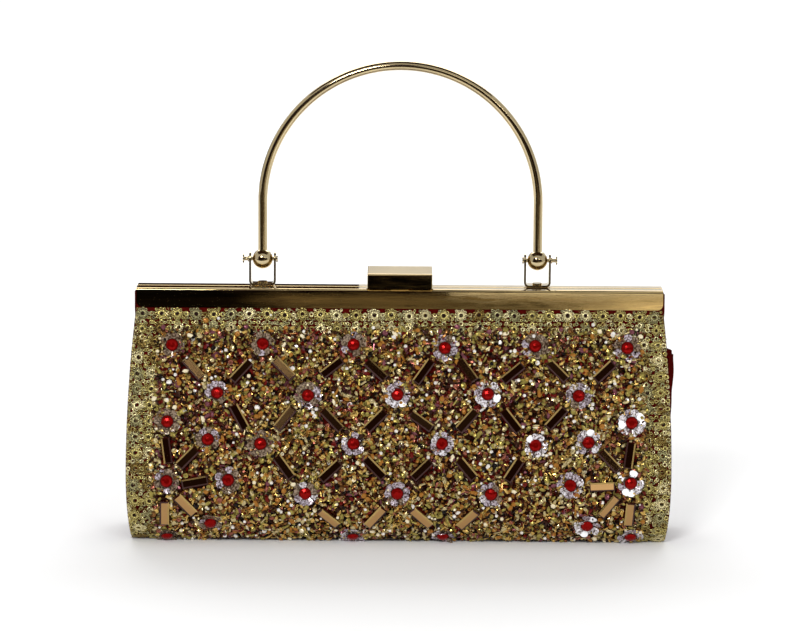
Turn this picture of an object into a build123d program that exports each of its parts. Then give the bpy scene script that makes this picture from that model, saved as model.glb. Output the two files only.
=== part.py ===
from build123d import *
from math import asin, atan2, cos, degrees, hypot, radians, sin, tan
import os

# Beaded evening bag: a satin pouch on a hinged brass frame, with a lift-up clasp and an arched handle.
# Millimetres. +X runs along the bag, -Y is its beaded front, +Z is up.
# The origin is the centre of the flat base. Each sub-part is one STEP file in parts/, named after its node.

# ---------------------------------------------------------------- driving dimensions
frame_top = 110.0  # height of the closed frame's top face
frame_length = 229.0
frame_depth = 14.0  # both bars, closed
bar_height = 8.5
bar_wall = 0.8
bar_gap = 0.3  # between the closed bars
bar_edge_radius = 1.1  # along the outer top edges
bar_groove_radius = 0.7  # along the inner ones, where the closed bars meet
bar_corner_radius = 2.5  # the bars' lower corners, seen from the front

hinge_z = 84.0  # both bars swing about this line, at y = 0

belly_radius = 27.0  # the pouch's round bottom, in side view
belly_z = 24.0
rim_z = 82.0  # top of the pouch's stiff walls
fold_top_z = 96.0  # the cloth bends between the rim and this height
cloth_clearance = 0.3

skin = 0.8  # satin and its backing
board = 1.5
lining = 0.5
layer_gap = 0.05
top_corner_play = 0.1  # between the cloth and the bar's inner face
packing_cord_radius = 1.1
gusset_lining_thickness = 0.8
pocket_low, pocket_high = 36.0, 72.0
pocket_half_width = 45.0

body_half_width_top = 115.0
body_half_width_middle = 118.6
body_half_width_base = 117.0
body_middle_z = 38.0
body_corner_radius = 6.0
gusset_x = 114.6  # inner face of the side gussets
gusset_thickness = 1.2
gusset_top_thickness = 0.8
board_side_gap = 1.1  # from the stiffening boards to the gussets

arm_thickness = 1.2
arm_eye_radius = 3.6
front_arm_x = 112.2  # inner face of each arm
rear_arm_x = 110.8
hinge_shank_radius = 1.5
hinge_head_radius = 3.0
hinge_head_thickness = 0.8
arm_half_width = 2.3
arm_rivet_radius = 0.9
arm_spacer_radius = 1.6
running_clearance = 0.05

handle_half_span = 60.0  # centre line of each leg
handle_leg = 25.0  # straight part above the pivot
handle_tube_radius = 2.0
handle_tube_wall = 0.6
ball_radius = 4.4
pivot_height = 11.5  # above the frame's top
pin_radius = 0.85
pin_overhang = 2.2  # each pin stands out past its outer ear
yoke_thickness = 0.9
yoke_width = 6.4
yoke_ear_spacing = 10.8  # between the ears' middles
yoke_bend_radius = 2.2
ear_radius = 2.9
pin_inner_head_radius = 1.5
pin_outer_head_radius = 1.95
pin_head_thickness = 0.6
pin_collar_radius = 1.35
yoke_rivet_radius = 1.1
yoke_rivet_head = (2.0, 0.7)  # radius and thickness
yoke_rivet_tail = (1.8, 0.8)

clasp_width = 28.2
clasp_depth = 16.8
clasp_height = 7.6
clasp_front_drop = 1.15  # its top slopes down this much to the front
clasp_wall = 0.9
clasp_rim_gap = 0.4  # the closed cap's rim stands this far above the bars
clasp_knuckle_radius = 1.3
clasp_pin_radius = 0.6
clasp_edge_radius = 1.0
clasp_end_radius = 0.25
knuckle_half_width = 6.0  # the bracket's knuckle, between the cap's two
knuckle_play = 0.2
knuckle_bar_gap = 0.15
catch_half_width = 4.0
catch_lip = (0.6, 0.8)  # depth and height
plate_thickness = 0.3  # bracket and striker
bracket_half_width = 12.0
bracket_rivet_radius = 0.8
bracket_rivet_x = 9.5
bracket_rivet_tail = (1.3, 0.6)
leaf_thickness = 0.3
spring_half_width = 3.0

lattice_pitch = 39.5  # flowers along a row
row_pitch = 21.4  # rows, measured along the cloth
first_row = 16.6  # from the frame's lower edge
row_counts = (6, 5, 4, 3, 2)  # flowers in each row
flower_radius = 5.3
sequin_thickness = 0.6
stone_radius = 2.6
stone_height = 1.5
stone_bevel = 0.8
baguette = (11.5, 4.0, 1.2)
baguette_bevel = 0.4
thread_hole_radius = 0.45
motif_x = 100.5  # centre of the corner sunburst
motif_row = 76.1
motif_bar_ring = 13.0
motif_flower_ring = 26.0
net_width = 14.0  # metallic net border, at the sides
net_depth = 10.5  # and under the bars
net_thickness = 0.4
bead_lift = 0.6  # the flowers and baguettes sit above the net
beyond = 130.0  # cutting blocks reach past the whole bag

# ---------------------------------------------------------------- values that follow
half_frame = frame_depth / 2
bar_inner = bar_gap / 2
bar_bottom = frame_top - bar_height
half_length = frame_length / 2
channel_outer_y = half_frame - bar_wall
cloth_top_y = channel_outer_y - top_corner_play  # the cloth's outer face where it enters the bar
cloth_top_z = frame_top - bar_wall - 1.4
wall_stack = skin + board + lining + 3 * layer_gap
flat_half = (belly_radius**2 - belly_z**2) ** 0.5  # half width of the flat base

# The front wall is a straight line from the bar, tangent to the belly's circle.
bar_to_belly = bar_bottom - belly_z
lean = asin(belly_radius / hypot(cloth_top_y, bar_to_belly)) - atan2(cloth_top_y, bar_to_belly)
straight = (bar_bottom - belly_z - belly_radius * sin(lean)) / cos(lean)
bar_centre_y = (half_frame + bar_inner) / 2
pivot_z = frame_top + pivot_height
clasp_rim_z = frame_top + clasp_rim_gap
clasp_top_z = clasp_rim_z + clasp_height
clasp_half_depth = clasp_depth / 2
clasp_axis_y = clasp_half_depth
clasp_axis_z = frame_top + 0.2
plate_top = frame_top + plate_thickness
rivet_z = bar_bottom + bar_height / 2

parts = {}


def both_sides(name, shape):
    """Stores the +X piece as NAME_right and its mirror image as NAME_left."""
    parts[name + "_right"] = shape
    parts[name + "_left"] = shape.mirror(Plane.YZ)


def front_and_rear(name, shape):
    """Stores the -Y piece as front_NAME and its mirror image as rear_NAME."""
    parts["front_" + name] = shape
    parts["rear_" + name] = shape.mirror(Plane.XZ)


def rod(radius, x0, x1, y, z):
    """A cylinder along X."""
    return Pos((x0 + x1) / 2, y, z) * Rot(0, 90, 0) * Cylinder(radius, abs(x1 - x0))


def block(x, y, z):
    """A box from three (low, high) pairs."""
    return Pos(sum(x) / 2, sum(y) / 2, sum(z) / 2) * Box(x[1] - x[0], y[1] - y[0], z[1] - z[0])


def prism(points, x0, x1):
    """A (y, z) polygon extruded from x0 to x1."""
    face = make_face(Plane.YZ * Polyline(*points, close=True))
    return Pos(x0, 0, 0) * extrude(face, x1 - x0, dir=(1, 0, 0))


def solid(shape):
    """The one solid of a boolean result."""
    found = shape.solids()
    assert len(found) == 1, len(found)
    return found[0]


# ---------------------------------------------------------------- the pouch's shape
def wall_y(z, inset=0.0):
    """Distance of the sloping wall from the middle plane at height z, moved inwards by inset."""
    return cloth_top_y + (bar_bottom - z) * tan(lean) - inset / cos(lean)


def side_region(inset, top):
    """The pouch's side view, moved inwards by inset and cut off at height top."""
    tangent_y = (belly_radius - inset) * cos(lean)
    tangent_z = belly_z + (belly_radius - inset) * sin(lean)
    top_y = wall_y(top, inset)
    sides = [(-tangent_y, tangent_z), (-top_y, top), (top_y, top), (tangent_y, tangent_z)]
    region = make_face(Polyline(*sides, close=True)) + Pos(0, belly_z) * Circle(belly_radius - inset)
    below = Pos(0, inset - belly_radius) * Rectangle(4 * belly_radius, 2 * belly_radius)
    return region - below


def layer(outer, inner, top, half_width):
    """A wall layer between two insets, right round the pouch."""
    face = Plane.YZ * (side_region(outer, top) - side_region(inner, top))
    return Pos(-half_width, 0, 0) * extrude(face, 2 * half_width)


def body_outline(grow=0.0):
    """The pouch's front outline, as a solid that trims the outer layers."""
    top = Vector(body_half_width_top + grow, bar_bottom)
    middle = Vector(body_half_width_middle + grow, body_middle_z)
    base = Vector(body_half_width_base + grow, 0)
    right = ThreePointArc(top, middle, base)
    left = ThreePointArc((-base.X, 0), (-middle.X, middle.Y), (-top.X, top.Y))
    loop = Wire([right, Line(right @ 1, left @ 0), left, Line(left @ 1, right @ 0)])
    face = make_face(Plane.XZ * loop)
    corners = face.vertices().sort_by(Axis.Z)[:2]
    return extrude(fillet(corners, body_corner_radius), belly_radius + 2, both=True)


def on_cloth(distance, lift=0.0):
    """Position (y, z) and downward tilt of the front cloth, at a distance below the bar along it."""
    if distance <= straight:
        tilt = -lean
        y, z = wall_y(bar_bottom - distance * cos(lean)), bar_bottom - distance * cos(lean)
    else:
        tilt = (distance - straight) / belly_radius - lean
        y, z = belly_radius * cos(tilt), belly_z - belly_radius * sin(tilt)
    return -(y + lift * cos(tilt)), z - lift * sin(tilt), degrees(tilt)


def lay_on_cloth(shape, x, distance, turn=0.0, lift=0.0):
    """Lays a shape, made flat on the XY plane with +Z outwards, on the front cloth."""
    y, z, tilt = on_cloth(distance, lift)
    return Pos(x, y, z) * Rot(90 + tilt, 0, 0) * Rot(0, 0, turn) * shape


# ---------------------------------------------------------------- soft goods
def make_pouch():
    """Skin, board and lining of the front, rear and base, and the two gussets."""
    outline = body_outline()
    base_cut = block((-beyond, beyond), (-flat_half, flat_half), (-1, belly_z / 2))
    front_half = block((-beyond, beyond), (-beyond, 0), (-1, frame_top))
    layers = {
        "outer_panel": (0, skin, body_half_width_middle),
        "stiffener": (skin + layer_gap, skin + layer_gap + board, gusset_x - board_side_gap),
        "lining": (wall_stack - layer_gap - lining, wall_stack - layer_gap, gusset_x - board_side_gap - 0.1),
    }
    for name, (outer, inner, half_width) in layers.items():
        shell = layer(outer, inner, rim_z, half_width)
        if name == "outer_panel":
            shell = shell & outline
        parts["base_" + name] = solid(shell & base_cut)
        front_and_rear(name, solid((shell - base_cut) & front_half))

    inside = Plane.YZ * side_region(skin + layer_gap, rim_z)
    gusset = Pos(gusset_x, 0, 0) * extrude(inside, gusset_thickness)
    both_sides("gusset", solid(gusset & body_outline(-0.5)))
    inside = Plane.YZ * side_region(wall_stack + layer_gap, hinge_z - arm_eye_radius - 0.9)
    both_sides("gusset_lining", Pos(gusset_x - 2, 0, 0) * extrude(inside, gusset_lining_thickness))

    inset = wall_stack + 0.2
    outline = [(wall_y(pocket_low, inset), pocket_low), (wall_y(pocket_high, inset), pocket_high)]
    inset += lining
    outline += [(wall_y(pocket_high, inset), pocket_high), (wall_y(pocket_low, inset), pocket_low)]
    parts["slip_pocket"] = prism(outline, -pocket_half_width, pocket_half_width)


def upper_strip(outer, inner, low, high, in_bar):
    """A front wall layer above the rim: it slopes up to the bar, and stands upright inside it."""
    points = [(-wall_y(low, outer), low)]
    if in_bar:
        points += [(-cloth_top_y + outer, bar_bottom), (-cloth_top_y + outer, high)]
        points += [(-cloth_top_y + inner, high), (-cloth_top_y + inner, bar_bottom)]
    else:
        points += [(-wall_y(high, outer), high), (-wall_y(high, inner), high)]
    points.append((-wall_y(low, inner), low))
    return points


def make_upper_cloth():
    """The walls above the hinge: stiff in the bars, with a soft fold between bar and pouch."""
    board_in = skin + layer_gap
    width = rear_arm_x - 0.5
    low = fold_top_z + cloth_clearance
    front_and_rear("top_cloth", prism(upper_strip(0, skin, low, cloth_top_z, True), -width, width))
    stiffener = upper_strip(board_in, board_in + board, low, cloth_top_z, True)
    front_and_rear("top_stiffener", prism(stiffener, -width, width))
    fold = upper_strip(0, wall_stack, rim_z + cloth_clearance, fold_top_z, False)
    front_and_rear("fold", prism(fold, -width, width))
    cord_y = -bar_inner - bar_wall - packing_cord_radius - 0.15
    cord_z = cloth_top_z - packing_cord_radius - 0.1
    front_and_rear("packing_cord", rod(packing_cord_radius, -width, width, cord_y, cord_z))

    low, high = rim_z + cloth_clearance, frame_top - 1.5
    low_y, high_y = wall_y(low, wall_stack + cloth_clearance), half_frame - 1.5
    sides = [(-low_y, low), (-high_y, high), (high_y, high), (low_y, low)]
    x = half_length + cloth_clearance
    both_sides("gusset_top", prism(sides, x, x + gusset_top_thickness))


# ---------------------------------------------------------------- frame
def make_bars():
    """Two channel-shaped bars, open downwards, that grip the cloth."""
    bar = block((-half_length, half_length), (-half_frame, -bar_inner), (bar_bottom, frame_top))
    low_ends = bar.edges().filter_by(Axis.Y).sort_by(Axis.Z)[:2]
    bar = fillet(low_ends, bar_corner_radius)
    top_edges = bar.faces().sort_by(Axis.Z)[-1].edges()
    bar = fillet(top_edges.filter_by(Axis.X).sort_by(Axis.Y)[:1], bar_edge_radius)
    inner_edge = bar.edges().filter_by(Axis.X).group_by(Axis.Z)[-1].sort_by(Axis.Y)[-1]
    bar = fillet(inner_edge, bar_groove_radius)
    inside = half_length - bar_wall
    room = block(
        (-inside, inside), (-channel_outer_y, -bar_inner - bar_wall), (bar_bottom - 1, frame_top - bar_wall)
    )
    bar = bar - room
    rivet_hole = rod(arm_rivet_radius, half_length - 2, half_length + 1, -bar_centre_y, rivet_z)
    bar = bar - rivet_hole - rivet_hole.mirror(Plane.YZ)
    rear = bar.mirror(Plane.XZ)
    for x in (-handle_half_span, handle_half_span, -bracket_rivet_x, bracket_rivet_x):
        radius = yoke_rivet_radius if abs(x) == handle_half_span else bracket_rivet_radius
        rear = rear - Pos(x, bar_centre_y, frame_top) * Cylinder(radius, 4)
    for x in (-bracket_rivet_x, bracket_rivet_x):
        bar = bar - Pos(x, -bar_centre_y, frame_top) * Cylinder(bracket_rivet_radius, 4)
    parts["front_bar"] = solid(bar)
    parts["rear_bar"] = solid(rear)

    for end, arm_x, y in (("front", front_arm_x, -bar_centre_y), ("rear", rear_arm_x, bar_centre_y)):
        shank = rod(arm_rivet_radius, arm_x, half_length, y, rivet_z)
        spacer = rod(arm_spacer_radius, arm_x + arm_thickness, inside, y, rivet_z)
        rivet = solid(shank + spacer)
        parts[end + "_arm_rivets"] = Compound([rivet, rivet.mirror(Plane.YZ)])


def make_arms():
    """Flat steel arms from the bars' ends down to the hinge rivets."""
    narrow = bar_centre_y - arm_half_width
    wide = bar_centre_y + arm_half_width
    arm_top = frame_top - bar_wall - 0.2
    points = [(-wide, arm_top), (-narrow, arm_top), (-narrow, bar_bottom)]
    points += [(3.0, hinge_z + 1.9), (0, hinge_z), (-3.3, hinge_z + 1.2), (-wide, bar_bottom)]
    for end, x, bore, sign in (
        ("front", front_arm_x, hinge_shank_radius + running_clearance, 1),
        ("rear", rear_arm_x, hinge_shank_radius, -1),
    ):
        arm = prism([(sign * y, z) for y, z in points], x, x + arm_thickness)
        arm = arm + rod(arm_eye_radius, x, x + arm_thickness, 0, hinge_z)
        arm = arm - rod(bore, x - 1, x + arm_thickness + 1, 0, hinge_z)
        arm = arm - rod(arm_rivet_radius, x - 1, x + arm_thickness + 1, -sign * bar_centre_y, rivet_z)
        both_sides(end + "_arm", solid(arm))
    inner, outer = rear_arm_x - 0.1, front_arm_x + arm_thickness + 0.1
    rivet = rod(hinge_shank_radius, inner, outer, 0, hinge_z)
    rivet = rivet + rod(hinge_head_radius, inner - hinge_head_thickness, inner, 0, hinge_z)
    rivet = rivet + rod(hinge_head_radius, outer, outer + hinge_head_thickness, 0, hinge_z)
    both_sides("hinge_rivet", solid(rivet))


# ---------------------------------------------------------------- handle
def make_handle():
    """The arched tube, its end balls and the pins that it swings on."""
    leg_foot = pivot_z + 2.6
    leg_top = pivot_z + handle_leg
    path = Polyline((-handle_half_span, 0, leg_foot), (-handle_half_span, 0, leg_top))
    path = path + ThreePointArc(
        (-handle_half_span, 0, leg_top),
        (0, 0, leg_top + handle_half_span),
        (handle_half_span, 0, leg_top),
    )
    path = path + Line((handle_half_span, 0, leg_top), (handle_half_span, 0, leg_foot))
    start = Plane(origin=(-handle_half_span, 0, leg_foot), z_dir=(0, 0, 1))
    ring = Circle(handle_tube_radius) - Circle(handle_tube_radius - handle_tube_wall)
    tube = sweep(start * ring, path=path)
    parts["handle_arch"] = solid(Pos(0, bar_centre_y, 0) * tube)

    x, y = handle_half_span, bar_centre_y
    ball = Pos(x, y, pivot_z) * Sphere(ball_radius)
    ball = ball - Pos(x, y, leg_foot + ball_radius) * Cylinder(handle_tube_radius + 0.02, 2 * ball_radius)
    ball = ball - rod(pin_radius + 0.02, x - 6, x + 6, y, pivot_z)
    both_sides("handle_ball", solid(ball))

    ear_outside = yoke_ear_spacing / 2 + yoke_thickness / 2
    inner_face = x - ear_outside - 0.15
    outer_face = x + ear_outside + pin_overhang
    collar_face = x + ear_outside + 0.15
    pin = rod(pin_radius, inner_face, outer_face, y, pivot_z)
    inner_head = rod(pin_inner_head_radius, inner_face - pin_head_thickness, inner_face, y, pivot_z)
    outer_head = rod(pin_outer_head_radius, outer_face, outer_face + pin_head_thickness, y, pivot_z)
    collar = rod(pin_collar_radius, collar_face, collar_face + 0.4, y, pivot_z)
    both_sides("handle_pin", solid(pin + inner_head + outer_head + collar))


def make_yokes():
    """The bent strips that stand on the rear bar and carry the handle's pins."""
    outer = yoke_ear_spacing / 2 + yoke_thickness / 2
    height = pivot_height + ear_radius
    strip = block((-outer, outer), (-yoke_width / 2, yoke_width / 2), (0, height))
    strip = fillet(strip.edges().filter_by(Axis.Y).sort_by(Axis.Z)[:2], yoke_bend_radius)
    room = outer - yoke_thickness
    inside = block((-room, room), (-yoke_width, yoke_width), (yoke_thickness, height + 1))
    inside = fillet(inside.edges().filter_by(Axis.Y).sort_by(Axis.Z)[:2], yoke_bend_radius - yoke_thickness)
    strip = strip - inside
    foot = yoke_width / 2
    taper = [(-foot, 0), (foot, 0), (ear_radius, pivot_height), (-ear_radius, pivot_height)]
    side = make_face(Polyline(*taper, close=True)) + Pos(0, pivot_height) * Circle(ear_radius)
    strip = strip & extrude(Plane.YZ * side, 2 * outer, both=True)
    strip = strip - rod(pin_radius + 0.06, -10, 10, 0, pivot_height) - Cylinder(yoke_rivet_radius, 5)
    at = Pos(handle_half_span, bar_centre_y, frame_top)
    both_sides("handle_yoke", solid(at * strip))

    grip = yoke_thickness + bar_wall
    rivet = Pos(0, 0, yoke_thickness - grip / 2) * Cylinder(yoke_rivet_radius, grip)
    rivet = rivet + Pos(0, 0, yoke_thickness + yoke_rivet_head[1] / 2) * Cylinder(*yoke_rivet_head)
    rivet = rivet + Pos(0, 0, -bar_wall - yoke_rivet_tail[1] / 2) * Cylinder(*yoke_rivet_tail)
    both_sides("yoke_rivet", solid(at * rivet))


# ---------------------------------------------------------------- clasp
def make_clasp():
    """A folded cap that lifts on a pin behind the rear bar, its bracket, and the front bar's striker."""
    half = clasp_width / 2
    front, back = -clasp_half_depth, clasp_half_depth
    front_top_z = clasp_top_z - clasp_front_drop
    profile = [(front, clasp_rim_z), (front, front_top_z), (back, clasp_top_z), (back, clasp_rim_z)]
    cap = prism(profile, -half, half)
    cap = fillet(cap.edges().filter_by(Axis.X).sort_by(Axis.Z)[-2:], clasp_edge_radius)
    ends = cap.faces().sort_by(Axis.X)
    cap = fillet(ends[-1].edges() + ends[0].edges(), clasp_end_radius)
    wall = clasp_wall
    slope = clasp_front_drop / clasp_depth
    low, inner_front, inner_back = clasp_rim_z - 1, front + wall, back - wall
    inner_z = front_top_z + slope * wall - wall
    hollow = [(inner_front, low), (inner_front, inner_z), (inner_back, clasp_top_z - (1 + slope) * wall)]
    cap = cap - prism(hollow + [(inner_back, low)], wall - half, half - wall)
    lip_depth, lip_height = catch_lip
    lip_y = (front + wall, front + wall + lip_depth)
    cap = cap + block((-catch_half_width, catch_half_width), lip_y, (clasp_rim_z, clasp_rim_z + lip_height))
    middle = knuckle_half_width
    slot = middle + knuckle_play
    knuckle_end = half - 2 * wall
    cap = cap - block((-slot, slot), (back - wall - 1, back + 1), (clasp_rim_z - 1, clasp_axis_z + 2))
    axis = (clasp_axis_y, clasp_axis_z)
    behind_bar = block((-beyond, beyond), (half_frame + knuckle_bar_gap, beyond), (0, 2 * frame_top))
    for side in (-1, 1):
        x0, x1 = side * slot, side * knuckle_end
        cap = cap + (rod(clasp_knuckle_radius, x0, x1, *axis) & behind_bar)
        cap = cap - rod(clasp_pin_radius + running_clearance, x0 - side, x1 + side, *axis)
    parts["clasp_cap"] = solid(cap)

    wide = bracket_half_width
    bracket = block((-wide, wide), (bar_inner + 0.3, half_frame - 0.2), (frame_top, plate_top))
    bracket = bracket + block((-middle, middle), (half_frame - 1, clasp_axis_y), (frame_top, plate_top))
    knuckle = rod(clasp_knuckle_radius, -middle, middle, *axis) & behind_bar
    bracket = bracket + knuckle - rod(clasp_pin_radius, -middle - 1, middle + 1, *axis)
    for x in (-bracket_rivet_x, bracket_rivet_x):
        bracket = bracket - Pos(x, bar_centre_y, frame_top) * Cylinder(bracket_rivet_radius, 4)
    parts["clasp_bracket"] = solid(bracket)
    parts["clasp_pin"] = rod(clasp_pin_radius, -knuckle_end - 0.5, knuckle_end + 0.5, *axis)

    striker = block((-half - 0.4, half + 0.4), (-half_frame + 0.9, -bar_inner - 0.2), (frame_top, plate_top))
    for x in (-bracket_rivet_x, bracket_rivet_x):
        striker = striker - Pos(x, -bar_centre_y, frame_top) * Cylinder(bracket_rivet_radius, 4)
    parts["clasp_striker"] = solid(striker)
    for name, y in (("bracket_rivets", bar_centre_y), ("striker_rivets", -bar_centre_y)):
        low = frame_top - bar_wall
        shank = Pos(0, y, (plate_top + low) / 2) * Cylinder(bracket_rivet_radius, plate_top - low)
        tail = Pos(0, y, low - bracket_rivet_tail[1] / 2) * Cylinder(*bracket_rivet_tail)
        rivet = shank + tail
        parts[name] = Compound([Pos(x, 0, 0) * rivet for x in (-bracket_rivet_x, bracket_rivet_x)])

    thin = leaf_thickness
    leaf = [(1.4, plate_top), (5.2, plate_top), (5.2, plate_top + thin), (1.7, plate_top + thin)]
    tip_z = front_top_z - clasp_wall + slope * (clasp_half_depth - 1)
    leaf += [(-0.6, tip_z - 0.1), (-0.9, tip_z - 0.3)]
    parts["clasp_spring"] = prism(leaf, -spring_half_width, spring_half_width)
    root_y, hook_y, hook_z = front + 2.1, front + wall + 0.25, clasp_rim_z + 1.5
    leaf = [(-2.0, plate_top), (root_y, plate_top), (root_y - 0.2, hook_z - 0.4), (hook_y, hook_z)]
    leaf += [(root_y - 0.1, hook_z + 1.5), (root_y + 0.2, hook_z + 1.35), (hook_y + 0.4, hook_z + 0.05)]
    leaf += [(root_y + 0.1, hook_z - 0.2), (root_y + thin, plate_top + thin), (-2.0, plate_top + thin)]
    parts["clasp_catch"] = prism(leaf, -catch_half_width + 0.3, catch_half_width - 0.3)


# ---------------------------------------------------------------- beadwork
def lattice():
    """Flower places on the front as (x, distance along the cloth): diamond lattice and two sunbursts."""
    rows = [
        ((i - (count - 1) / 2) * lattice_pitch, first_row + row * row_pitch)
        for row, count in enumerate(row_counts)
        for i in range(count)
    ]
    rings = [(x, distance) for x, distance, _ in sunburst(motif_flower_ring)]
    return rows + rings + [(-motif_x, motif_row), (motif_x, motif_row)]


def sunburst(ring):
    """Places (x, distance, turn) at 45 degree steps round the inner side of each corner motif."""
    return [
        (side * (motif_x - ring * cos(radians(a))), motif_row - ring * sin(radians(a)), -side * a)
        for side in (-1, 1)
        for a in (90, 45, 0, -45, -90)
    ]


def baguette_places():
    """Bars half way along the lattice's diagonals, and radially in the corner motifs."""
    turn = degrees(atan2(row_pitch, lattice_pitch / 2))
    places = []
    for row, count in enumerate(row_counts[:-1]):
        gaps = 2 * (count - 1)
        for i in range(gaps):
            x = (i - (gaps - 1) / 2) * lattice_pitch / 2
            places.append((x, first_row + (row + 0.5) * row_pitch, turn if i % 2 else -turn))
    return places + sunburst(motif_bar_ring)


def make_beadwork():
    """Flower sequins with red stones, mirrored baguettes and the net border, as they sit on the front."""
    petals = Circle(flower_radius * 0.62)
    for i in range(8):
        petals = petals + Rot(0, 0, 45 * i) * Pos(flower_radius * 0.72, 0) * Circle(flower_radius * 0.28)
    flower = extrude(petals, sequin_thickness) - Cylinder(thread_hole_radius, 4)
    low = (Align.CENTER, Align.CENTER, Align.MIN)
    stone = Pos(0, 0, sequin_thickness + layer_gap) * Cylinder(stone_radius, stone_height, align=low)
    stone = chamfer(stone.edges().sort_by(Axis.Z)[-1:], stone_bevel)
    length, width, thick = baguette
    bar = Box(length, width, thick, align=low)
    bar = chamfer(bar.edges().filter_by(Axis.Z, reverse=True).sort_by(Axis.Z)[-4:], baguette_bevel)
    hole_x = length / 2 - 1.4
    for x in (-hole_x, hole_x):
        bar = bar - Pos(x, 0, 0) * Cylinder(thread_hole_radius, 4 * thick)

    groups = {"top_flowers": [], "top_stones": [], "flower_sequins": [], "red_stones": []}
    for x, distance in lattice():
        on_top = distance <= first_row
        names = ("top_flowers", "top_stones") if on_top else ("flower_sequins", "red_stones")
        groups[names[0]].append(lay_on_cloth(flower, x, distance, 22.5, bead_lift))
        groups[names[1]].append(lay_on_cloth(stone, x, distance, 0, bead_lift))
    groups["baguette_beads"] = [
        lay_on_cloth(bar, x, distance, turn, bead_lift) for x, distance, turn in baguette_places()
    ]
    for name, group in groups.items():
        parts[name] = Compound([s for shape in group for s in shape.solids()])

    net = layer(-layer_gap - net_thickness, -layer_gap, rim_z, body_half_width_middle) & body_outline()
    side = block((body_half_width_middle - net_width, beyond), (-beyond, 0), (2, rim_z))
    both_sides("net_border", solid(net & side))
    low, high = bar_bottom - net_depth, bar_bottom - cloth_clearance
    border = upper_strip(-layer_gap - net_thickness, -layer_gap, low, high, False)
    parts["net_border_top"] = prism(border, 0.5 - rear_arm_x, rear_arm_x - 0.5)


cloth_steps = (make_pouch, make_upper_cloth)
metal_steps = (make_bars, make_arms, make_handle, make_yokes, make_clasp)
for step in cloth_steps + metal_steps + (make_beadwork,):
    step()
os.makedirs("parts", exist_ok=True)
for old in os.listdir("parts"):
    os.remove(os.path.join("parts", old))
for node, shape in parts.items():
    export_step(shape, f"parts/{node}.step")
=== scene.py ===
import math

import bpy
import numpy as np
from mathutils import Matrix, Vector


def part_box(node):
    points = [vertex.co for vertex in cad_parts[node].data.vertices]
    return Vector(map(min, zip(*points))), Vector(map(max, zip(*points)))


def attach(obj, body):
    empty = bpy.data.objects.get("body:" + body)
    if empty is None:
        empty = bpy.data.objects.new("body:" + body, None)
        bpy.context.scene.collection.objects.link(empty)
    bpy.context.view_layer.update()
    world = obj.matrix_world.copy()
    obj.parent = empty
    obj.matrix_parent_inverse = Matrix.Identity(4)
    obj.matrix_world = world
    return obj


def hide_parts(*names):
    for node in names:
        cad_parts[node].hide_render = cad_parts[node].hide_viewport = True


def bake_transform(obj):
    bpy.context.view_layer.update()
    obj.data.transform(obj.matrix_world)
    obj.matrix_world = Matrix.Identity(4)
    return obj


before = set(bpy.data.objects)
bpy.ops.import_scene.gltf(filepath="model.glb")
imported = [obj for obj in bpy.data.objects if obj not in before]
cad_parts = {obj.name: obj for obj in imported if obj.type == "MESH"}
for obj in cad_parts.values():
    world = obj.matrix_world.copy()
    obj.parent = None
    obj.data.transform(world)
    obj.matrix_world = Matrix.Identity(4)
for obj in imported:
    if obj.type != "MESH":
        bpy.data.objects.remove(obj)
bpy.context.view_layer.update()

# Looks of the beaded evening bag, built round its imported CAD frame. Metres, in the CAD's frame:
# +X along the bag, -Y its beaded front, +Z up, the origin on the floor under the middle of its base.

MM = 0.001
rng = np.random.default_rng(7)

# -------- sizes read from the frame
bar_low, bar_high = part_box("front_bar")
panel_low, panel_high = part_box("front_outer_panel")
base_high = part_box("base_outer_panel")[1]
gusset_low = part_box("gusset_right")[0]
hinge_low, hinge_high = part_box("hinge_rivet_right")

HALF_LENGTH = bar_high.x
BAR_BOTTOM = bar_low.z
FRAME_TOP = bar_high.z
BAR_FRONT = -bar_low.y
BELLY = -panel_low.y  # radius of the round bottom
FLAT = base_high.y  # half depth of the flat base
BELLY_Z = math.sqrt(BELLY**2 - FLAT**2)
HINGE_Z = (hinge_low.z + hinge_high.z) / 2
MIDDLE_HALF = panel_high.x  # half width at the belly
GUSSET_X = gusset_low.x

# -------- sizes chosen here
BAR_WALL = 0.9 * MM
SKIN = 0.8 * MM
WALL = 2.95 * MM  # skin, board and lining together
LINING = 0.5 * MM
TOP_HALF = 115.0 * MM  # half width at the bar's lower edge
BASE_HALF = 117.0 * MM  # half width at the base
MIDDLE_Z = 38.0 * MM  # height of the widest place
LATTICE = 39.5 * MM  # from one flower to the next along a row
ROW = 21.4 * MM  # from one row to the next
FIRST_ROW = 16.6 * MM  # the first row, below the bar
FLOWER_RADIUS = 5.7 * MM
STONE_RADIUS = 2.65 * MM
BAGUETTE = (11.5 * MM, 4.1 * MM, 1.3 * MM)  # length, width, thickness
MOTIF_X = 100.5 * MM  # the corner sunbursts' middles
MOTIF_ROW = 76.1 * MM  # the same, below the bar
MOTIF_BAR_RING = 13.0 * MM
MOTIF_FLOWER_RING = 26.0 * MM
NET_WIDTH = 13.0 * MM  # of the strips at the sides
NET_DEPTH = 11.5 * MM  # of the strip under the bar
NET_PITCH = 7.7 * MM  # from one rosette to the next
NET_HEIGHT = 1.3 * MM
TALLEST_BEAD = 2.6 * MM  # how far the beadwork stands off the cloth
CLEAR_OF_FLOOR = 0.1 * MM
HAND_SEWN = 0.55 * MM  # how far flowers and baguettes stray from the lattice
NET_INSET = 0.4 * MM  # how far the net stays inside the cloth's side edges
GUSSET_TOP = HINGE_Z - 2.3 * MM  # where the stiff part of the gusset ends
SIDES = (("left", -1), ("right", 1))
ENDS = (("front", -1), ("rear", 1))

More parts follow.
